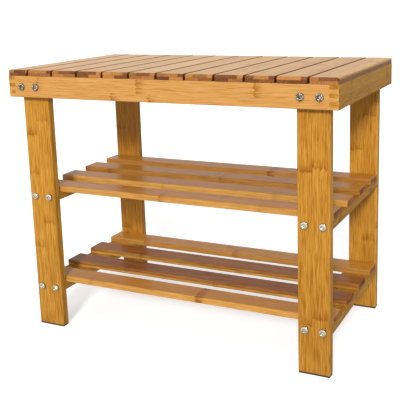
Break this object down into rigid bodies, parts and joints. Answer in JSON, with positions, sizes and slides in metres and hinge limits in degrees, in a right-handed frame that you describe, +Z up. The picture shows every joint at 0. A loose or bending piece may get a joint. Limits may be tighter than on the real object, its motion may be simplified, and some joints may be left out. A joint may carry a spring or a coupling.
{
  "type": "slatted entryway shoe bench",
  "caption": "Low rectangular bench with a slatted seat on four board legs, held by bolts, with two open slatted shoe shelves between the legs.",
  "frame": {"origin": "on the floor, under the middle of the bench", "axes": "+X along the seat to the right, front at -Y, +Z up"},
  "size_m": [0.5, 0.2864, 0.398],
  "materials": {
    "bamboo_rails": "clear satin lacquer over side-pressed bamboo",
    "bamboo_seat": "clear satin lacquer over pinkish tan bamboo, some strips steamed brown",
    "bamboo_dowels": "plain turned bamboo",
    "bamboo_legs": "clear satin lacquer over golden bamboo",
    "bamboo_shelves": "clear satin lacquer over tan and steamed brown bamboo",
    "pad_rubber": "matte foam rubber",
    "screw_steel": "zinc plated",
    "bolt_chrome": "bright nickel plated",
    "insert_brass": "plain machined"
  },
  "bodies": {
    "root": {"front_rail": "bamboo_rails", "back_rail": "bamboo_rails", "left_end_rail": "bamboo_rails", "right_end_rail": "bamboo_rails", "seat_slat_01": "bamboo_seat", "seat_slat_02": "bamboo_seat", "seat_slat_03": "bamboo_seat", "seat_slat_04": "bamboo_seat", "seat_slat_05": "bamboo_seat", "seat_slat_06": "bamboo_seat", "seat_slat_07": "bamboo_seat", "seat_slat_08": "bamboo_seat", "seat_slat_09": "bamboo_seat", "seat_slat_10": "bamboo_seat", "seat_slat_11": "bamboo_seat", "seat_slat_12": "bamboo_seat", "seat_dowels": "bamboo_dowels", "front_left_leg": "bamboo_legs", "front_right_leg": "bamboo_legs", "back_left_leg": "bamboo_legs", "back_right_leg": "bamboo_legs", "front_left_pad": "pad_rubber", "front_right_pad": "pad_rubber", "back_left_pad": "pad_rubber", "back_right_pad": "pad_rubber", "upper_left_crossbar": "bamboo_legs", "upper_right_crossbar": "bamboo_legs", "lower_left_crossbar": "bamboo_legs", "lower_right_crossbar": "bamboo_legs", "upper_shelf_slat_1": "bamboo_shelves", "upper_shelf_slat_2": "bamboo_shelves", "upper_shelf_slat_3": "bamboo_shelves", "upper_shelf_slat_4": "bamboo_shelves", "lower_shelf_slat_1": "bamboo_shelves", "lower_shelf_slat_2": "bamboo_shelves", "lower_shelf_slat_3": "bamboo_shelves", "lower_shelf_slat_4": "bamboo_shelves", "upper_shelf_screws": "screw_steel", "lower_shelf_screws": "screw_steel", "seat_bolts": "bolt_chrome", "upper_shelf_bolts": "bolt_chrome", "lower_shelf_bolts": "bolt_chrome", "seat_insert_nuts": "insert_brass", "upper_insert_nuts": "insert_brass", "lower_insert_nuts": "insert_brass"}
  },
  "joints": []
}
